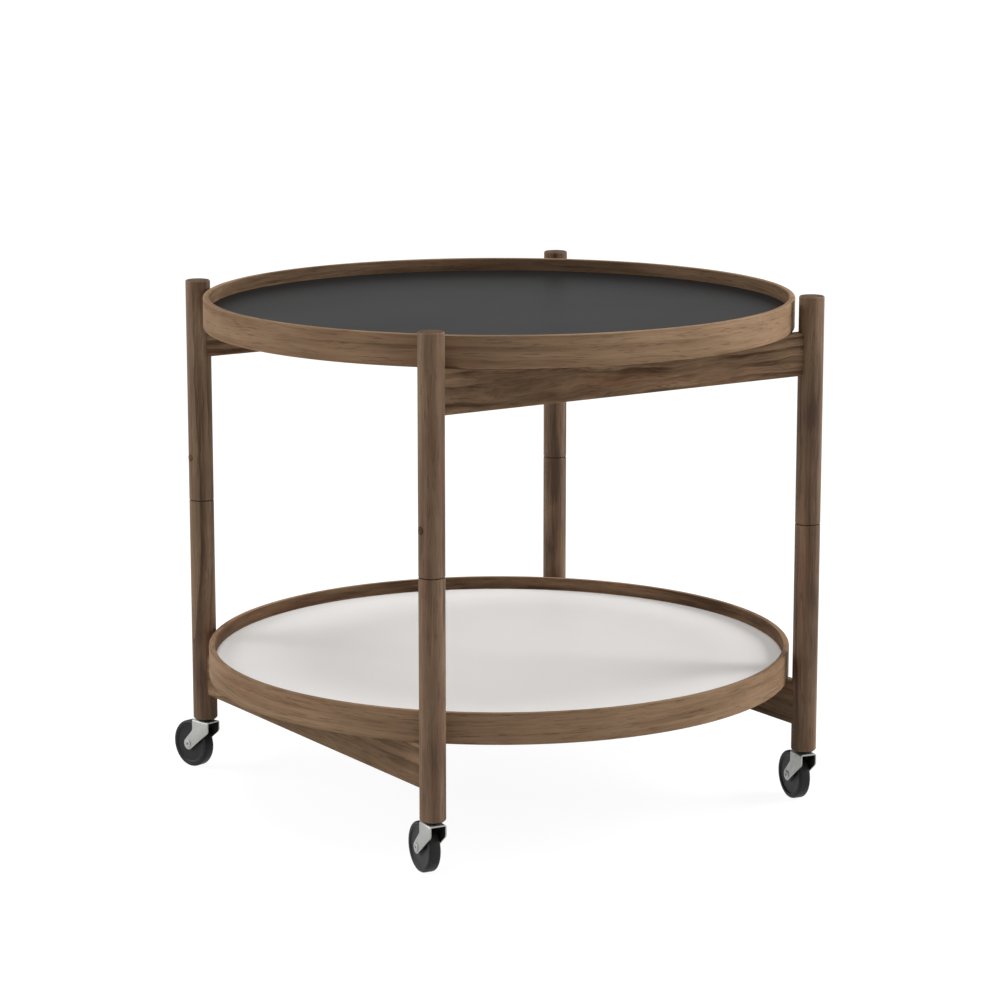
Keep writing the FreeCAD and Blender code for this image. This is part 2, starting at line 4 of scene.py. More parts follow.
import bmesh
import bpy
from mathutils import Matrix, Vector


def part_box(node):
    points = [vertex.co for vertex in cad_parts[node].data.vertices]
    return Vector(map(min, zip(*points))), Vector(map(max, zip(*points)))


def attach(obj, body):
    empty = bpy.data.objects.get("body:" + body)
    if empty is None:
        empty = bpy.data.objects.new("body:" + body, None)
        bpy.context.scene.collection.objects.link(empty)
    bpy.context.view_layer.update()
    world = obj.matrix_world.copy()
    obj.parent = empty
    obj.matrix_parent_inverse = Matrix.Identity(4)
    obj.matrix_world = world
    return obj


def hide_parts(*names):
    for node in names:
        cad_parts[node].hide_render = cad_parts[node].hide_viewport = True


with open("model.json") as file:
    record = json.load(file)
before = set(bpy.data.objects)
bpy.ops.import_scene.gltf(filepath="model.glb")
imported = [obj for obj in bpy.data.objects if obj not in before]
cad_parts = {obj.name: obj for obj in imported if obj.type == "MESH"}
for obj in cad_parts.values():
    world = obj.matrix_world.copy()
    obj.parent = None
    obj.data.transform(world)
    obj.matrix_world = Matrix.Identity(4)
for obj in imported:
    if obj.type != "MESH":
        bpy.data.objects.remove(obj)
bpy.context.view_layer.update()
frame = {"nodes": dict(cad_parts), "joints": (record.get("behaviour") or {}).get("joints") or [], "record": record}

# A round tray table: bent-wood trays, a folding frame of round legs and flat rails, and four casters.
# Lengths are in metres. What the frame doesn't give is named here.

MM = 0.001
CORNERS = ("front", "right", "back", "left")

# bent rims
RIM_WALL = 6.5 * MM
RIM_EDGE = 1.2 * MM
RIM_STEPS = 240
GROOVE_DEPTH = 3.05 * MM
BOARD_PLAY = 0.05 * MM
SPLICE_ANGLE = math.radians(-39)
SPLICE_GAP = 0.35 * MM
# a face belongs to the inner wall, which gets a darker wood as painted shade, where its normal points this much
# inwards
INNER_FACING = 0.5

# casters
TRAIL = 19 * MM
WHEEL_RADIUS = 25 * MM
TYRE_WIDTH = 12.4 * MM
TYRE_THICKNESS = 3.5 * MM
TYRE_EDGE = 2.4 * MM
TYRE_STEP = 0.5 * MM
CORE_PLAY = 0.05 * MM
WEB_RECESS = 1.2 * MM
HUB_RADIUS = 7.5 * MM
HUB_PROUD = 0.7 * MM
CORE_EDGE = 0.4 * MM
CORE_FILLET = 0.6 * MM
AXLE_RADIUS = 3 * MM
AXLE_HEAD = 0.8 * MM
AXLE_HEAD_LIP = 1.2 * MM
AXLE_HEAD_EDGE = 0.6 * MM
AXLE_HOLLOW_RADIUS = 1.3 * MM
AXLE_HOLLOW_DEPTH = 1.6 * MM
AXLE_HOLLOW_EDGE = 0.25 * MM
FORK_SHEET = 1.6 * MM
FORK_BEND = 1.6 * MM
FORK_HALF_LENGTH = 12 * MM
FORK_HALF_WIDTH = 8.8 * MM
FORK_TOP = 53.4 * MM
FORK_FRONT_DROP = 11.5 * MM
FORK_BACK_DROP = 12 * MM
FORK_TOE_RADIUS = 6.2 * MM
FORK_CORNER = 5 * MM
ARM_STEP = 5 * MM
SHEET_EDGE = 0.2 * MM
BEND_LIMIT = math.radians(40)
RACE_BORE = 4.05 * MM
RACE_SLOT = 1.4 * MM
RACE_EDGE = 0.2 * MM
RACE_RING_SHARE = 0.34

# screw plugs
PLUG_RADIUS = 3.75 * MM
PLUG_DEPTH = 3.5 * MM
PLUG_DOME = 1.2 * MM

# how finely round shapes are divided
TURNED_STEPS = 72
DOME_STEPS = 6
CORNER_SEGMENTS = 4
TOE_SEGMENTS = 8
BEND_SEGMENTS = 5
SHEET_EDGE_SEGMENTS = 2

# the camera stands where the photograph's did
CAMERA_PLACE = (-1.8025, -2.7109, 0.9490)
CAMERA_YAW = math.radians(33.638)
CAMERA_PITCH = math.radians(-11.209)
CAMERA_LENS = 116.08

# studio
FLOOR_SIZE = 60.0
FLOOR_COLOUR = (0.76, 0.76, 0.76, 1)
FLOOR_ROUGHNESS = 0.9
FLOOR_GLOW = 0.94
FLOOR_VEIL = (0.16, 0.16, 0.16, 1)
ROOM_LIGHT = 0.16
LIGHT_TARGET = Vector((0, 0, 0.3))

SMOOTH_ANGLE = math.radians(32)
SAME_PLACE = 1e-6


# Modelling by hand: a start is added, opened for shaping, shaped and closed

def begin(name, scale=(1, 1, 1), **place):
    """Add a plane, put its size and place into its mesh and open it for shaping."""
    bpy.ops.object.select_all(action="DESELECT")
    bpy.ops.mesh.primitive_plane_add(size=1, **place)
    piece = bpy.context.object
    piece.name = name
    piece.data.name = name
    piece.scale = scale
    bpy.ops.object.transform_apply(location=True, rotation=True, scale=True)
    bpy.ops.object.mode_set(mode="EDIT")
    return piece


def choose(kind, test):
    """Select only the corners, edges or faces that pass the test."""
    mesh = bpy.context.edit_object.data
    bpy.ops.mesh.select_mode(type=kind)
    bpy.ops.mesh.select_all(action="DESELECT")
    shape = bmesh.from_edit_mesh(mesh)
    for part in {"VERT": shape.verts, "EDGE": shape.edges, "FACE": shape.faces}[kind]:
        part.select_set(test(part))
    shape.select_flush_mode()
    bmesh.update_edit_mesh(mesh)


def edge_middle(edge):
    return (edge.verts[0].co + edge.verts[1].co) / 2


def near(a, b):
    return abs(a - b) < SAME_PLACE


def extrude_by(x=0, y=0, z=0):
    bpy.ops.mesh.extrude_region_move(TRANSFORM_OT_translate={"value": (x, y, z)})


def move_by(x=0, y=0, z=0):
    bpy.ops.transform.translate(value=(x, y, z))


def round_corners(size, segments=CORNER_SEGMENTS):
    bpy.ops.mesh.bevel(offset=size, segments=segments, affect="VERTICES")


def end(piece):
    """Close the shaping: weld, turn the faces outwards and smooth all but the sharp edges."""
    bpy.ops.mesh.select_all(action="SELECT")
    bpy.ops.mesh.remove_doubles(threshold=SAME_PLACE)
    bpy.ops.mesh.normals_make_consistent(inside=False)
    bpy.ops.object.mode_set(mode="OBJECT")
    bpy.ops.object.shade_smooth_by_angle(angle=SMOOTH_ANGLE)
    return piece


def apply_modifier(piece, kind, **settings):
    modifier = piece.modifiers.new(kind.lower(), kind)
    for name, value in settings.items():
        setattr(modifier, name, value)
    bpy.ops.object.modifier_apply(modifier=modifier.name)


def copy_to(piece, name, place, turn=0.0):
    """A copy with its own mesh, turned about Z and moved, with its place in the mesh."""
    bpy.ops.object.select_all(action="DESELECT")
    made = piece.copy()
    made.data = piece.data.copy()
    made.name = name
    made.data.name = name
    bpy.context.collection.objects.link(made)
    made.select_set(True)
    bpy.context.view_layer.objects.active = made
    made.location = place
    made.rotation_euler = (0, 0, turn)
    bpy.ops.object.transform_apply(location=True, rotation=True, scale=True)
    return made


def turned(name, axis, outline, rounded=()):
    """A piece turned about an axis: an outline of (along, radius) points, spun.

    rounded gives (corner, size) pairs for the outline's corners that are rounded off.
    """
    place_on = {"X": lambda along, out: (along, 0, out), "Y": lambda along, out: (0, along, out),
                "Z": lambda along, out: (out, 0, along)}[axis]
    spots = [Vector(place_on(along, out)) for along, out in outline]
    piece = begin(name)
    choose("VERT", lambda vert: vert.index != 0)
    bpy.ops.mesh.delete(type="VERT")
    bpy.ops.mesh.select_all(action="SELECT")
    start = bmesh.from_edit_mesh(piece.data).verts[:][0].co.copy()
    move_by(*(spots[0] - start))
    for before, after in zip(spots, spots[1:]):
        extrude_by(*(after - before))
    bpy.ops.mesh.select_all(action="SELECT")
    bpy.ops.mesh.remove_doubles(threshold=SAME_PLACE)
    for corner, size in rounded:
        choose("VERT", lambda vert: (vert.co - spots[corner]).length < SAME_PLACE)
        round_corners(size)
    bpy.ops.mesh.select_all(action="SELECT")
    direction = [1 if letter == axis else 0 for letter in "XYZ"]
    bpy.ops.mesh.spin(steps=TURNED_STEPS, angle=math.tau, center=(0, 0, 0), axis=direction)
    return end(piece)


def tangent_point(spot, centre, radius, side):
    """Where a line from spot touches a circle, on the circle's left (1) or right (-1) as seen from spot."""
    away = spot - centre
    angle = math.atan2(away.y, away.x) - side * math.acos(radius / away.length)
    return centre + Vector((math.cos(angle), math.sin(angle))) * radius


# Finishes: patterns lie on Object coordinates, and end grain shows by the way that a surface faces

# where most of a noise's values lie
NOISE_RANGE = (0.3, 0.7)


def srgb(red, green, blue):
    """A colour as it shows on a screen, 0 to 255, as a shader's linear colour."""
    def linear(value):
        share = value / 255
        return share / 12.92 if share <= 0.04045 else ((share + 0.055) / 1.055) ** 2.4
    return (linear(red), linear(green), linear(blue), 1.0)


class Finish:
    """One material and its node tree."""

    def __init__(self, name):
        self.material = bpy.data.materials.new(name)
        self.material.use_nodes = True
        self.tree = self.material.node_tree
        self.shader = self.tree.nodes["Principled BSDF"]

    def node(self, kind, inputs=None, **settings):
        """A node with its settings made, and its inputs set to values or joined to other nodes' sockets."""
        made = self.tree.nodes.new("ShaderNode" + kind)
        for name, value in settings.items():
            setattr(made, name, value)
        for socket, value in (inputs or {}).items():
            self.put(made.inputs[socket], value)
        return made

    def put(self, socket, value):
        if isinstance(value, bpy.types.NodeSocket):
            self.tree.links.new(value, socket)
        else:
            socket.default_value = value

    def place(self):
        return self.node("TexCoord").outputs["Object"]

    def stretched(self, vector, scale, shift=(0, 0, 0), turn=(0, 0, 0)):
        return self.node("Mapping", {
            "Vector": vector, "Scale": scale, "Location": shift, "Rotation": turn,
        }).outputs["Vector"]

    def noise(self, vector, detail=3.0, roughness=0.55):
        return self.node("TexNoise", {
            "Vector": vector, "Scale": 1.0, "Detail": detail, "Roughness": roughness,
        })

    def math(self, operation, first, second=0.0):
        return self.node("Math", {0: first, 1: second}, operation=operation).outputs[0]

    def spread(self, value, low, high, to_low=0.0, to_high=1.0):
        """Map a value's range smoothly onto another, and hold it there."""
        return self.node("MapRange", {
            "Value": value, "From Min": low, "From Max": high, "To Min": to_low, "To Max": to_high,
        }, interpolation_type="SMOOTHSTEP").outputs["Result"]

    def vary(self, noise, to_low, to_high):
        """Map a noise onto a range."""
        return self.spread(noise, *NOISE_RANGE, to_low, to_high)

    def ramp(self, value, stops):
        made = self.node("ValToRGB", {"Fac": value})
        points = made.color_ramp.elements
        while len(points) < len(stops):
            points.new(0.5)
        for point, (at, colour) in zip(points, stops):
            point.position = at
            point.color = colour
        return made.outputs["Color"]

    def blend(self, share, first, second):
        made = self.node("Mix", data_type="RGBA")
        self.put(made.inputs["Factor"], share)
        self.put(made.inputs["A"], first)
        self.put(made.inputs["B"], second)
        return made.outputs["Result"]

    def bump(self, height, strength, distance):
        made = self.node("Bump", {"Height": height, "Strength": strength, "Distance": distance})
        self.put(self.shader.inputs["Normal"], made.outputs["Normal"])

    def set(self, **sockets):
        for name, value in sockets.items():
            self.put(self.shader.inputs[name.replace("_", " ").title().replace("Ior", "IOR")], value)


WOOD_LIGHT = srgb(173, 143, 114)
WOOD_MID = srgb(135, 109, 85)
WOOD_DARK = srgb(76, 57, 42)
WOOD_PORE = srgb(55, 41, 30)
WOOD_RED = srgb(138, 98, 75)
WOOD_SHADES = ((0.08, WOOD_DARK), (0.5, WOOD_MID), (0.95, WOOD_LIGHT))
PLAIN_SHADE = 0.56
WOOD_SMOOTH, WOOD_ROUGH = 0.58, 0.72
WOOD_RELIEF = 0.25 * MM
WOOD_GRIP = 0.3
PORE_DEPTH = 0.8
END_GRAIN_FACING = (0.75, 0.97)
END_GRAIN_SHADE = 0.4
END_GRAIN_ROUGHNESS = 0.3
# how often the grain wanders, per metre across and along it, and how far
GRAIN_SWAYS = (((9, 9, 2.2), 42 * MM), ((34, 34, 12), 14 * MM))
# how little the rings change along the grain
RING_STRETCH = 0.02
# Blender's wave texture has its rings tau / 20 apart at a scale of 1
WAVE_PACE = 20

GRAIN_TURNS = {"X": (0, -math.pi / 2, 0), "Y": (math.pi / 2, 0, 0), "Z": (0, 0, 0)}


def grain_place(finish, grain, radius=0.0):
    """Coordinates whose third runs along the grain: along an axis, or round the table on a bent rim."""
    place = finish.place()
    if grain != "ROUND":
        return finish.stretched(place, (1, 1, 1), turn=GRAIN_TURNS[grain])
    turned_place = finish.stretched(place, (1, 1, 1), turn=(0, 0, math.pi - SPLICE_ANGLE))
    apart = finish.node("SeparateXYZ", {"Vector": turned_place}).outputs
    angle = finish.math("ARCTAN2", apart["Y"], apart["X"])
    arc = finish.math("MULTIPLY", angle, radius)
    flat = finish.stretched(turned_place, (1, 1, 0))
    out = finish.node("VectorMath", {0: flat}, operation="LENGTH").outputs["Value"]
    return finish.node("CombineXYZ", {"X": out, "Y": apart["Z"], "Z": arc}).outputs["Vector"]


def end_grain(finish, grain):
    """1 where a surface faces along the grain, as at a leg's end, and 0 along its sides."""
    facing = finish.node("TexCoord").outputs["Normal"]
    along = finish.node("SeparateXYZ", {"Vector": facing}).outputs[grain]
    return finish.spread(finish.math("ABSOLUTE", along), *END_GRAIN_FACING)


def wood(name, grain, pith, radius=0.0, ring_width=11 * MM, figure=0.2, streaks=1.0, waves=1.0, tone=0.0,
         sheen=0.03):
    """Smoked wood with growth rings about a pith, open pores along the grain and an oiled, low sheen.

    figure is the rings' strength, streaks that of the finer grain, waves how far the grain wanders, and tone
    lightens or darkens it all.
    """
    finish = Finish(name)
    along = grain_place(finish, grain, radius)

    def sway(scale, reach):
        """How far the grain wanders sideways, slowly along its length."""
        drift = finish.noise(finish.stretched(along, scale), detail=2.0).outputs["Color"]
        centred = finish.node("VectorMath", {0: drift, 1: (0.5, 0.5, 0.5)}, operation="SUBTRACT")
        return finish.node("VectorMath", {0: centred.outputs["Vector"], "Scale": reach},
                           operation="SCALE").outputs["Vector"]

    swayed = along
    for scale, reach in GRAIN_SWAYS:
        swayed = finish.node("VectorMath", {0: swayed, 1: sway(scale, reach * waves)},
                             operation="ADD").outputs["Vector"]
    ring_place = finish.stretched(swayed, (1, 1, RING_STRETCH), shift=(-pith[0], -pith[1], 0))
    rings = finish.node("TexWave", {
        "Vector": ring_place, "Scale": math.tau / (WAVE_PACE * ring_width), "Distortion": 0.0,
    }, wave_type="RINGS", rings_direction="Z", wave_profile="SAW").outputs["Fac"]

    def grain_noise(across, lengthwise, shift=(0, 0, 0), detail=3.0, roughness=0.55):
        """Noise drawn out along the grain, with so many spots to the metre across it and along it."""
        place = finish.stretched(swayed, (across, across, lengthwise), shift=shift)
        return finish.noise(place, detail=detail, roughness=roughness).outputs["Fac"]

    fibre = grain_noise(520, 16, detail=4.0, roughness=0.7)
    streak = grain_noise(170, 8, shift=(2, 9, 4), roughness=0.6)
    band = grain_noise(75, 6, shift=(5, 1, 8))
    figured = grain_noise(16, 9, shift=(6, 5, 3), detail=2.0)
    patch = grain_noise(22, 7, shift=(3, 7, 1), detail=2.0)
    red = grain_noise(55, 6, shift=(11, 2, 5), detail=2.0)
    pores = grain_noise(760, 48, shift=(1, 4, 6), detail=2.0)
    crowd = grain_noise(200, 12, shift=(8, 3, 2), detail=2.0)

    # late wood is dark and narrow, early wood light and broad, and only some stretches show it clearly
    late = finish.math("MULTIPLY", finish.spread(rings, 0.25, 1.0),
                       finish.spread(figured, 0.42, 0.62, 0.2, 1.0))
    early_shade = PLAIN_SHADE + tone + figure / 3
    shade = finish.math("SUBTRACT", early_shade, finish.math("MULTIPLY", late, 1.5 * figure))
    for value, reach in ((streak, 0.1), (band, 0.11), (patch, 0.09), (fibre, 0.1)):
        reach *= streaks
        shade = finish.math("ADD", shade, finish.spread(value, 0.28, 0.72, -reach, reach))
    rough = finish.vary(fibre, WOOD_SMOOTH, WOOD_ROUGH)
    if grain != "ROUND":
        cut_end = end_grain(finish, grain)
        shade = finish.math("SUBTRACT", shade, finish.math("MULTIPLY", cut_end, END_GRAIN_SHADE))
        rough = finish.math("ADD", rough, finish.math("MULTIPLY", cut_end, END_GRAIN_ROUGHNESS))
    body = finish.ramp(shade, WOOD_SHADES)
    warm = finish.blend(finish.spread(red, 0.5, 0.75, 0.0, 0.35), body, WOOD_RED)
    # pores lie in rows, where they crowd together
    open_pores = finish.math("MULTIPLY", finish.spread(pores, 0.54, 0.66),
                             finish.spread(crowd, 0.4, 0.62, 0.15, 0.42))
    colour = finish.blend(open_pores, warm, WOOD_PORE)
    height = finish.math("SUBTRACT", fibre, finish.math("MULTIPLY", open_pores, PORE_DEPTH))
    finish.set(base_color=colour, roughness=rough, specular_ior_level=sheen)
    finish.bump(height, WOOD_GRIP, WOOD_RELIEF)
    return finish


LAMINATE_CLOUDS = 0.2
LAMINATE_UNEVENNESS = 0.01
LAMINATE_RELIEF = 0.05 * MM


def laminate(name, colour, fleck, rough, sheen, grip):
    """A pressed laminate: nearly even colour with a very fine grain and a soft sheen."""
    finish = Finish(name)
    place = finish.place()
    cloud = finish.noise(finish.stretched(place, (6, 6, 6)), detail=3.0).outputs["Fac"]
    grain = finish.noise(finish.stretched(place, (2600, 2600, 2600)), detail=2.0).outputs["Fac"]
    share = finish.math("ADD", finish.vary(cloud, 0.0, LAMINATE_CLOUDS),
                        finish.vary(grain, 0.0, 1 - LAMINATE_CLOUDS))
    finish.set(base_color=finish.blend(share, colour, fleck), specular_ior_level=sheen,
               roughness=finish.vary(cloud, rough - LAMINATE_UNEVENNESS, rough + LAMINATE_UNEVENNESS))
    finish.bump(grain, grip, LAMINATE_RELIEF)
    return finish


STEEL_CLOUDS = 0.4
STEEL_UNEVENNESS = 0.06
STEEL_GRIP = 0.12
STEEL_RELIEF = 0.05 * MM


def plated_steel(name, colour, dull, rough):
    """Zinc-plated sheet: satin metal with a faint rolled grain and cloudy plating."""
    finish = Finish(name)
    place = finish.place()
    cloud = finish.noise(finish.stretched(place, (160, 160, 160)), detail=4.0).outputs["Fac"]
    rolled = finish.noise(finish.stretched(place, (900, 900, 5200)), detail=2.0).outputs["Fac"]
    share = finish.math("ADD", finish.vary(cloud, 0.0, STEEL_CLOUDS),
                        finish.vary(rolled, 0.0, 1 - STEEL_CLOUDS))
    finish.set(base_color=finish.blend(share, colour, dull), metallic=1.0,
               roughness=finish.vary(cloud, rough - STEEL_UNEVENNESS, rough + STEEL_UNEVENNESS))
    finish.bump(rolled, STEEL_GRIP, STEEL_RELIEF)
    return finish


MOULD_UNEVENNESS = 0.07
MOULD_RELIEF = 0.08 * MM


def moulded(name, colour, worn, rough, sheen, grip):
    """Moulded plastic or rubber: dark, with a slight mould texture and paler dust in it."""
    finish = Finish(name)
    place = finish.place()
    cloud = finish.noise(finish.stretched(place, (120, 120, 120)), detail=3.0).outputs["Fac"]
    grain = finish.noise(finish.stretched(place, (1700, 1700, 1700)), detail=3.0).outputs["Fac"]
    share = finish.math("MULTIPLY", finish.spread(cloud, 0.35, 0.75), finish.vary(grain, 0.4, 1.0))
    finish.set(base_color=finish.blend(share, colour, worn), specular_ior_level=sheen,
               roughness=finish.vary(grain, rough - MOULD_UNEVENNESS, rough + MOULD_UNEVENNESS))
    finish.bump(grain, grip, MOULD_RELIEF)
    return finish


rim_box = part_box("top_tray_rim")
rim_radius = rim_box[1].x
rim_height = rim_box[1].z - rim_box[0].z

LEG_WOOD = wood("leg_wood", "Z", pith=(0.31, 0.29), figure=0.17, streaks=0.9, waves=0.45, tone=-0.26,
                sheen=0.24)
UPPER_RAIL_WOOD = wood("upper_rail_wood", "X", pith=(0.465, 0.16), figure=0.2, streaks=0.9, tone=-0.22)
LOWER_RAIL_WOOD = wood("lower_rail_wood", "Y", pith=(0.1, 0.07), figure=0.18, streaks=0.9, waves=0.5,
                       tone=-0.14)
RIM_GRAIN = {"grain": "ROUND", "pith": (0.26, 0.44), "radius": rim_radius, "figure": 0.08,
             "streaks": 0.75, "waves": 0.4}
RIM_WOOD = wood("rim_wood", tone=0.03, **RIM_GRAIN)
# painted shade: the rims' inner walls are darker copies of the rim wood, darkest in the lower tray
INNER_RIM_SHADED_WOODS = {
    "top_tray": wood("top_inner_rim_painted_shade", tone=-0.2, **RIM_GRAIN),
    "lower_tray": wood("lower_inner_rim_painted_shade", tone=-0.36, **RIM_GRAIN),
}
PLUG_WOOD = wood("plug_wood", "Y", pith=(0.2, 0.05), ring_width=3 * MM, tone=-0.5)
BOARD = wood("board", "X", pith=(0.2, 0.6), figure=0.1, tone=0.3)
DARK_LAMINATE = laminate("dark_laminate", srgb(30, 30, 30), srgb(35, 35, 35),
                         rough=0.3, sheen=0.003, grip=0.04)
LIGHT_LAMINATE = laminate("light_laminate", srgb(241, 239, 237), srgb(245, 243, 241),
                          rough=0.4, sheen=0.01, grip=0.03)
ZINC = plated_steel("zinc_steel", srgb(168, 168, 165), srgb(156, 156, 153), rough=0.5)
BRIGHT_STEEL = plated_steel("bright_steel", srgb(190, 190, 192), srgb(176, 176, 178), rough=0.3)
# a dark zinc painted on the fork's inner faces as shade
FORK_SHADE_ZINC = plated_steel("fork_inside_painted_shade", srgb(64, 63, 61), srgb(52, 51, 49), rough=0.6)
NYLON = moulded("dark_nylon", srgb(26, 23, 21), srgb(34, 30, 28), rough=0.55, sheen=0.3, grip=0.1)
BLACK_PLASTIC = moulded("black_plastic", srgb(24, 24, 24), srgb(32, 32, 31), rough=0.45, sheen=0.2, grip=0.06)
TYRE = moulded("tyre", srgb(31, 31, 31), srgb(40, 40, 39), rough=0.5, sheen=0.2, grip=0.12)

SLOT_FINISHES = {
    "plug_wood": PLUG_WOOD, "board": BOARD, "dark_laminate": DARK_LAMINATE, "light_laminate": LIGHT_LAMINATE,
    "zinc_steel": ZINC, "bright_steel": BRIGHT_STEEL, "dark_nylon": NYLON, "black_plastic": BLACK_PLASTIC,
    "tyre": TYRE,
}


def wood_for(node):
    """The wood whose grain runs as this node's does."""
    if "rim" in node:
        return RIM_WOOD
    if "rail" in node or "dowel" in node:
        return UPPER_RAIL_WOOD if node.startswith("upper") else LOWER_RAIL_WOOD
    return LEG_WOOD


def wear(piece, *finishes):
    """Give a piece its finishes. The first covers it all."""
    piece.data.materials.clear()
    for finish in finishes:
        piece.data.materials.append(finish.material)


def cover(piece, test):
    """Give the faces that pass the test the piece's second finish."""
    bpy.ops.object.mode_set(mode="EDIT")
    choose("FACE", test)
    piece.active_material_index = 1
    bpy.ops.object.material_slot_assign()
    bpy.ops.object.mode_set(mode="OBJECT")


def dress(piece, body, node):
    """Put a modelled and finished piece on its body in place of its CAD node."""
    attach(piece, body)
    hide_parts(node)


slot_of = {part["node"]: part["material_slot"] for part in frame["record"]["subparts"]}
body_of = {node: body for body, nodes in frame["record"]["behaviour"]["bodies"].items() for node in nodes}
joint_place = {joint["name"]: Vector(joint["pos_m"]) for joint in frame["joints"] if "pos_m" in joint}

for node, thing in frame["nodes"].items():
    slot = slot_of[node]
    wear(thing, wood_for(node) if slot == "dark_wood" else SLOT_FINISHES[slot])


# Trays

def bent_rim(tray):
    """A bent strip of wood with eased edges and a groove for the board, butted at its splice, with painted shade
    on its inner wall.
    """
    low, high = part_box(f"{tray}_rim")
    core_low, core_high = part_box(f"{tray}_core")
    inner = rim_radius - RIM_WALL
    groove_low = core_low.z - BOARD_PLAY
    groove_high = core_high.z + BOARD_PLAY
    middle = (low.z + high.z) / 2
    rim = begin(f"{tray}_bent_rim", scale=(RIM_WALL, rim_height, 1),
                location=(rim_radius - RIM_WALL / 2, 0, middle), rotation=(math.pi / 2, 0, 0))
    round_corners(RIM_EDGE)
    cuts = (
        ((0, 0, groove_low), (0, 0, 1)), ((0, 0, groove_high), (0, 0, 1)),
        ((inner + GROOVE_DEPTH, 0, 0), (1, 0, 0)),
    )
    for spot, direction in cuts:
        bpy.ops.mesh.select_all(action="SELECT")
        bpy.ops.mesh.bisect(plane_co=spot, plane_no=direction)

    def in_groove(face):
        at = face.calc_center_median()
        return groove_low < at.z < groove_high and at.x < inner + GROOVE_DEPTH

    choose("FACE", in_groove)
    bpy.ops.mesh.delete(type="FACE")
    gap = SPLICE_GAP / rim_radius
    bpy.ops.mesh.select_all(action="SELECT")
    bpy.ops.transform.rotate(value=gap / 2 - SPLICE_ANGLE, orient_axis="Z", center_override=(0, 0, 0))
    bpy.ops.mesh.spin(steps=RIM_STEPS, angle=math.tau - gap, center=(0, 0, 0), axis=(0, 0, 1))
    end(rim)

    def faces_inwards(face):
        outwards = face.calc_center_median().xy.normalized()
        return face.normal.xy.dot(outwards) < -INNER_FACING

    # the inner wall wears a darker copy of the rim wood as painted shade
    wear(rim, RIM_WOOD, INNER_RIM_SHADED_WOODS[tray])
    cover(rim, faces_inwards)
    return rim


for tray in ("top_tray", "lower_tray"):
    dress(bent_rim(tray), tray, f"{tray}_rim")


# Casters: each piece is made once, trailing along +X from the leg's axis, and copied to its leg

def fillet_reach(radius, turn):
    """How far from its corner a fillet starts, where the edges turn by that angle."""
    return radius * math.tan(turn / 2)


def sheet_fork():
    """A fork bent from sheet: a plate, and two arms that drop and then sweep back to a round toe."""
    arm = FORK_HALF_WIDTH - FORK_SHEET / 2
    plate_z = FORK_TOP - FORK_SHEET / 2
    front = Vector((-FORK_HALF_LENGTH, FORK_TOP - FORK_FRONT_DROP))
    back = Vector((FORK_HALF_LENGTH, FORK_TOP - FORK_BACK_DROP))
    axle = Vector((TRAIL, WHEEL_RADIUS))
    front_touch = tangent_point(front, axle, FORK_TOE_RADIUS, -1)
    back_touch = tangent_point(back, axle, FORK_TOE_RADIUS, 1)
    front_way = (front_touch - front).normalized()
    back_way = (back_touch - back).normalized()
    down = Vector((0, -1))
    # the toe is two corners on the circle's tangents, rounded until their arcs meet
    toe_reach = fillet_reach(FORK_TOE_RADIUS, (math.pi - front_way.angle(back_way)) / 2)
    front_toe = front_touch + front_way * toe_reach
    back_toe = back_touch + back_way * toe_reach

    fork = begin("fork", scale=(2 * FORK_HALF_LENGTH, 2 * arm, 1), location=(0, 0, plate_z))

    def choose_corner(spot):
        choose("VERT", lambda vert: near(vert.co.x, spot.x) and near(vert.co.z, spot.y)
               and near(abs(vert.co.y), arm))

    at = [Vector((-FORK_HALF_LENGTH, plate_z)), Vector((FORK_HALF_LENGTH, plate_z))]
    for wanted in ((front, back), (front_toe, back_toe)):
        choose("EDGE", lambda edge: near(abs(edge_middle(edge).y), arm)
               and near(edge_middle(edge).z, (at[0].y + at[1].y) / 2))
        extrude_by(z=-ARM_STEP)
        for side in (0, 1):
            reached = at[side] + down * ARM_STEP
            choose_corner(reached)
            move_by(x=wanted[side].x - reached.x, z=wanted[side].y - reached.y)
        at = list(wanted)
    choose("EDGE", lambda edge: near(edge_middle(edge).x, (front.x + back.x) / 2)
           and near(edge_middle(edge).z, (front.y + back.y) / 2))
    bpy.ops.mesh.dissolve_edges(use_verts=False)
    for corner, way in ((front, front_way), (back, back_way)):
        choose_corner(corner)
        round_corners(fillet_reach(FORK_CORNER, way.angle(down)))
    for corner in (front_toe, back_toe):
        choose_corner(corner)
        round_corners(toe_reach, TOE_SEGMENTS)
    choose("EDGE", lambda edge: near(abs(edge_middle(edge).y), arm) and near(edge_middle(edge).z, plate_z))
    bpy.ops.mesh.bevel(offset=FORK_BEND, segments=BEND_SEGMENTS, affect="EDGES")
    end(fork)
    apply_modifier(fork, "SOLIDIFY", thickness=FORK_SHEET, offset=0.0, use_even_offset=True)
    apply_modifier(fork, "BEVEL", width=SHEET_EDGE, segments=SHEET_EDGE_SEGMENTS,
                   limit_method="ANGLE", angle_limit=BEND_LIMIT)
    bpy.ops.object.mode_set(mode="EDIT")
    end(fork)

    def faces_inwards(face):
        at = face.calc_center_median()
        return at.y * face.normal.y < 0 or (face.normal.z < 0 and near(at.z, plate_z - FORK_SHEET / 2))

    # painted shade: the faces inside the fork and under its plate get a dark zinc
    wear(fork, ZINC, FORK_SHADE_ZINC)
    cover(fork, faces_inwards)
    return fork


def mirrored(half):
    """A closed outline from its half on the +along side."""
    return list(half) + [(-along, out) for along, out in reversed(half)] + [half[0]]


def both_sides(half, soft):
    """The corners to round off on a mirrored outline, from those on its half."""
    last = 2 * len(half) - 1
    return [(place, size) for corner, size in soft for place in (corner, last - corner)]


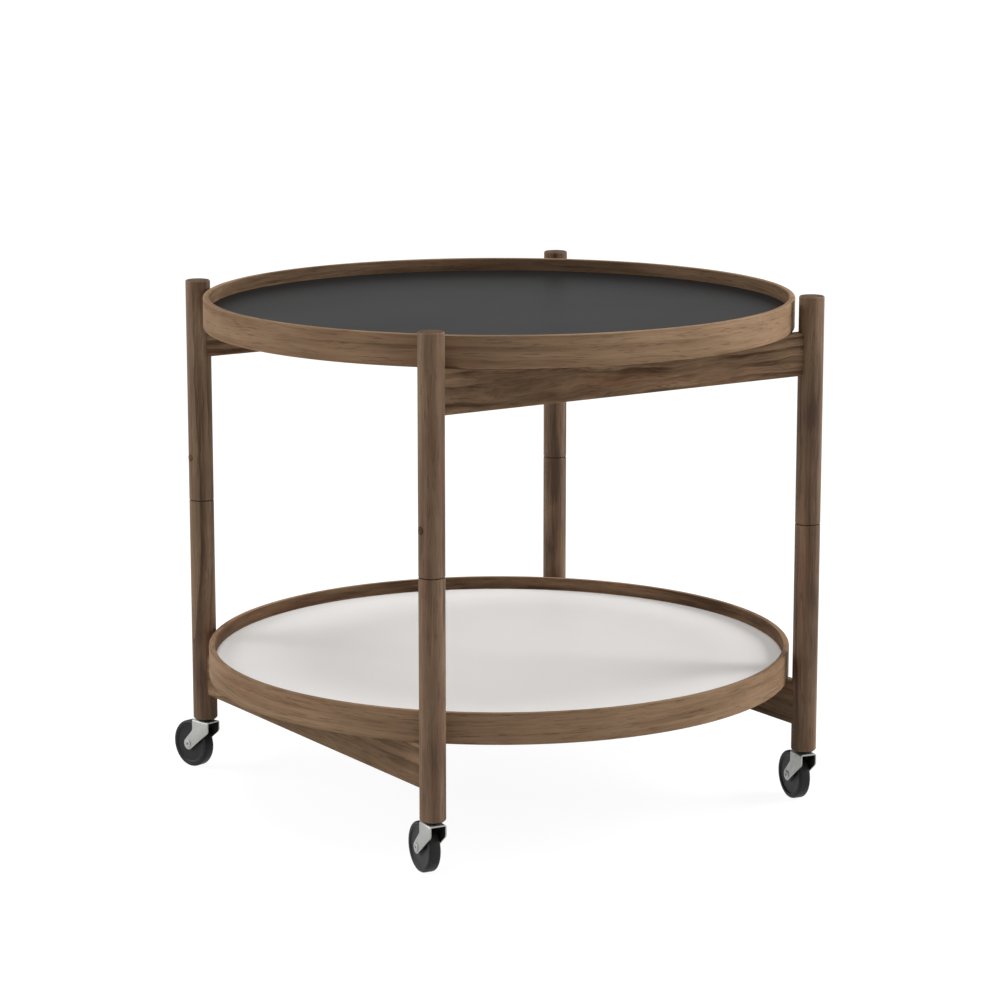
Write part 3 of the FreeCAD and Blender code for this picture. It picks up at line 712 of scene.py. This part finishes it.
def wheel_core():
    """The hard core: a bored hub, a recessed web and a rim under the tyre."""
    hub_end = TYRE_WIDTH / 2 + HUB_PROUD
    web = TYRE_WIDTH / 2 - WEB_RECESS
    rim = WHEEL_RADIUS - TYRE_THICKNESS - CORE_PLAY
    half = (
        (hub_end, AXLE_RADIUS + CORE_PLAY), (hub_end, HUB_RADIUS), (web, HUB_RADIUS + WEB_RECESS),
        (web, rim - 2 * WEB_RECESS), (TYRE_WIDTH / 2, rim - WEB_RECESS), (TYRE_WIDTH / 2, rim),
    )
    soft = both_sides(half, ((1, CORE_EDGE), (2, CORE_FILLET), (3, CORE_FILLET), (4, CORE_EDGE)))
    return turned("core", "Y", mirrored(half), soft)


def wheel_tyre():
    """The tyre: rounded tread edges, and a small step where it meets the core."""
    inner = WHEEL_RADIUS - TYRE_THICKNESS
    half = ((TYRE_WIDTH / 2, inner), (TYRE_WIDTH / 2, WHEEL_RADIUS))
    soft = both_sides(half, ((0, TYRE_STEP), (1, TYRE_EDGE)))
    return turned("tyre", "Y", mirrored(half), soft)


def rivet_axle():
    """The riveted axle: a plain shank and a rolled, hollow head at each end."""
    arm = FORK_HALF_WIDTH + CORE_PLAY
    tip = arm + AXLE_HEAD
    head = AXLE_RADIUS + AXLE_HEAD_LIP
    hollow = tip - AXLE_HOLLOW_DEPTH
    half = (
        (hollow, 0), (hollow, AXLE_HOLLOW_RADIUS), (tip, AXLE_HOLLOW_RADIUS),
        (tip, head), (arm, head), (arm, AXLE_RADIUS),
    )
    soft = both_sides(half, ((2, AXLE_HOLLOW_EDGE), (3, AXLE_HEAD_EDGE)))
    # the shank is solid, so its outline starts and ends on the axis
    return turned("axle", "Y", mirrored(half)[:-1], soft)


def swivel_race():
    """Two pressed rings with the ball track's dark slot between them."""
    low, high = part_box("caster_race_front")
    tall = high.z - low.z
    radius = (high.x - low.x) / 2
    ring = tall * RACE_RING_SHARE
    slot_floor = radius - RACE_SLOT
    outline = (
        (0, RACE_BORE), (0, radius), (ring, radius), (ring, slot_floor),
        (tall - ring, slot_floor), (tall - ring, radius), (tall, radius), (tall, RACE_BORE), (0, RACE_BORE),
    )
    race = turned("race", "Z", outline, ((1, RACE_EDGE), (6, RACE_EDGE)))
    return race, low.z


fork, core, tyre, axle = sheet_fork(), wheel_core(), wheel_tyre(), rivet_axle()
race, race_z = swivel_race()
for pattern, finish in ((core, BLACK_PLASTIC), (tyre, TYRE), (axle, ZINC), (race, BLACK_PLASTIC)):
    wear(pattern, finish)
for corner in CORNERS:
    leg = joint_place[f"caster_swivel_{corner}"]
    wheel = joint_place[f"wheel_spin_{corner}"]
    turn = math.atan2(wheel.y - leg.y, wheel.x - leg.x)
    placed = (
        ("fork", fork, (leg.x, leg.y, 0)),
        ("axle", axle, wheel),
        ("wheel_core", core, wheel),
        ("tyre", tyre, wheel),
        ("race", race, (leg.x, leg.y, race_z)),
    )
    for kind, pattern, place in placed:
        node = f"caster_{kind}_{corner}"
        piece = copy_to(pattern, f"{corner}_caster_{kind}", place, turn)
        dress(piece, body_of[node], node)


# Screw plugs in the upper legs

def domed_plug():
    """A turned plug with a domed end towards +X."""
    sphere = (PLUG_RADIUS ** 2 + PLUG_DOME ** 2) / (2 * PLUG_DOME)
    widest = math.asin(PLUG_RADIUS / sphere)
    dome = [(sphere * math.cos(widest * step / DOME_STEPS) - sphere + PLUG_DOME,
             sphere * math.sin(widest * step / DOME_STEPS)) for step in range(DOME_STEPS, -1, -1)]
    return turned("plug", "X", [(-PLUG_DEPTH, 0), (-PLUG_DEPTH, PLUG_RADIUS)] + dome)


plug = domed_plug()
wear(plug, PLUG_WOOD)
PLUGGED = {"front": ("front", -1), "right": ("front", 1), "back": ("back", 1), "left": ("back", -1)}
for corner, (frame_side, side) in PLUGGED.items():
    node = f"screw_plugs_{frame_side}"
    low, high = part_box(node)
    outermost = high.x if side > 0 else low.x
    leg = joint_place[f"caster_swivel_{corner}"]
    piece = copy_to(plug, f"{corner}_screw_plug", (outermost - side * PLUG_DOME, leg.y, (low.z + high.z) / 2),
                    0.0 if side > 0 else math.pi)
    dress(piece, body_of[node], node)

for pattern in (fork, core, tyre, axle, race, plug):
    bpy.data.objects.remove(pattern)


# Studio: a white floor that runs out of sight, white all round, and soft lamps

def background_seen(tree):
    """1 where the camera sees the background, straight or in a reflection or through glass, else 0."""
    path = tree.nodes.new("ShaderNodeLightPath")
    total = path.outputs["Is Camera Ray"]
    for ray in ("Is Glossy Ray", "Is Transmission Ray"):
        either = tree.nodes.new("ShaderNodeMath")
        either.operation = "MAXIMUM"
        tree.links.new(total, either.inputs[0])
        tree.links.new(path.outputs[ray], either.inputs[1])
        total = either.outputs[0]
    return total


def white_floor():
    """A pale floor. The camera sees it glow white, less where the object shades it."""
    bpy.ops.object.select_all(action="DESELECT")
    bpy.ops.mesh.primitive_plane_add(size=FLOOR_SIZE)
    floor = bpy.context.object
    floor.name = "floor"
    material = bpy.data.materials.new("floor_white")
    material.use_nodes = True
    tree = material.node_tree
    paint = tree.nodes["Principled BSDF"]
    paint.inputs["Base Color"].default_value = FLOOR_COLOUR
    paint.inputs["Roughness"].default_value = FLOOR_ROUGHNESS
    paint.inputs["Specular IOR Level"].default_value = 0.0
    glow = tree.nodes.new("ShaderNodeEmission")
    glow.inputs["Strength"].default_value = FLOOR_GLOW
    veil = tree.nodes.new("ShaderNodeBsdfDiffuse")
    veil.inputs["Color"].default_value = FLOOR_VEIL
    seen = tree.nodes.new("ShaderNodeAddShader")
    tree.links.new(glow.outputs["Emission"], seen.inputs[0])
    tree.links.new(veil.outputs["BSDF"], seen.inputs[1])
    mix = tree.nodes.new("ShaderNodeMixShader")
    tree.links.new(background_seen(tree), mix.inputs["Fac"])
    tree.links.new(paint.outputs["BSDF"], mix.inputs[1])
    tree.links.new(seen.outputs["Shader"], mix.inputs[2])
    tree.links.new(mix.outputs["Shader"], tree.nodes["Material Output"].inputs["Surface"])
    floor.data.materials.append(material)


def white_surroundings():
    """Even studio light from all round, and white where the camera sees past the floor."""
    world = bpy.data.worlds.new("studio")
    world.use_nodes = True
    bpy.context.scene.world = world
    tree = world.node_tree
    room = tree.nodes["Background"]
    room.inputs["Color"].default_value = (1, 1, 1, 1)
    room.inputs["Strength"].default_value = ROOM_LIGHT
    white = tree.nodes.new("ShaderNodeBackground")
    white.inputs["Color"].default_value = (1, 1, 1, 1)
    mix = tree.nodes.new("ShaderNodeMixShader")
    tree.links.new(background_seen(tree), mix.inputs["Fac"])
    tree.links.new(room.outputs["Background"], mix.inputs[1])
    tree.links.new(white.outputs["Background"], mix.inputs[2])
    tree.links.new(mix.outputs["Shader"], tree.nodes["World Output"].inputs["Surface"])


def hang_lamp(lamp, sideways, towards, height):
    """Place a lamp as the camera sees the table: to the right of it, towards the camera, and up."""
    right = Vector((math.cos(CAMERA_YAW), -math.sin(CAMERA_YAW), 0))
    nearer = Vector((-math.sin(CAMERA_YAW), -math.cos(CAMERA_YAW), 0))
    place = right * sideways + nearer * towards + Vector((0, 0, height))
    holder = bpy.data.objects.new(lamp.name, lamp)
    bpy.context.scene.collection.objects.link(holder)
    holder.location = place
    holder.rotation_euler = (LIGHT_TARGET - place).to_track_quat("-Z", "Y").to_euler()


def round_lamp(name, size, power):
    lamp = bpy.data.lights.new(name, "AREA")
    lamp.shape = "DISK"
    lamp.size = size
    lamp.energy = power
    return lamp


def sky_lamp(name, spread, strength):
    lamp = bpy.data.lights.new(name, "SUN")
    lamp.angle = spread
    lamp.energy = strength
    return lamp


white_floor()
white_surroundings()
hang_lamp(round_lamp("right_lamp", size=2.0, power=86), sideways=3.0, towards=-0.3, height=1.7)
hang_lamp(round_lamp("left_lamp", size=2.4, power=49), sideways=-3.0, towards=-0.1, height=1.45)
hang_lamp(sky_lamp("top_lamp", spread=math.radians(34), strength=1.65),
          sideways=-0.15, towards=0.0, height=3.0)

camera_data = bpy.data.cameras.new("camera")
camera_data.lens = CAMERA_LENS
camera = bpy.data.objects.new("camera", camera_data)
camera.location = CAMERA_PLACE
camera.rotation_euler = (math.pi / 2 + CAMERA_PITCH, 0, -CAMERA_YAW)
bpy.context.scene.collection.objects.link(camera)
bpy.context.scene.camera = camera
bpy.context.scene.view_settings.view_transform = "Standard"
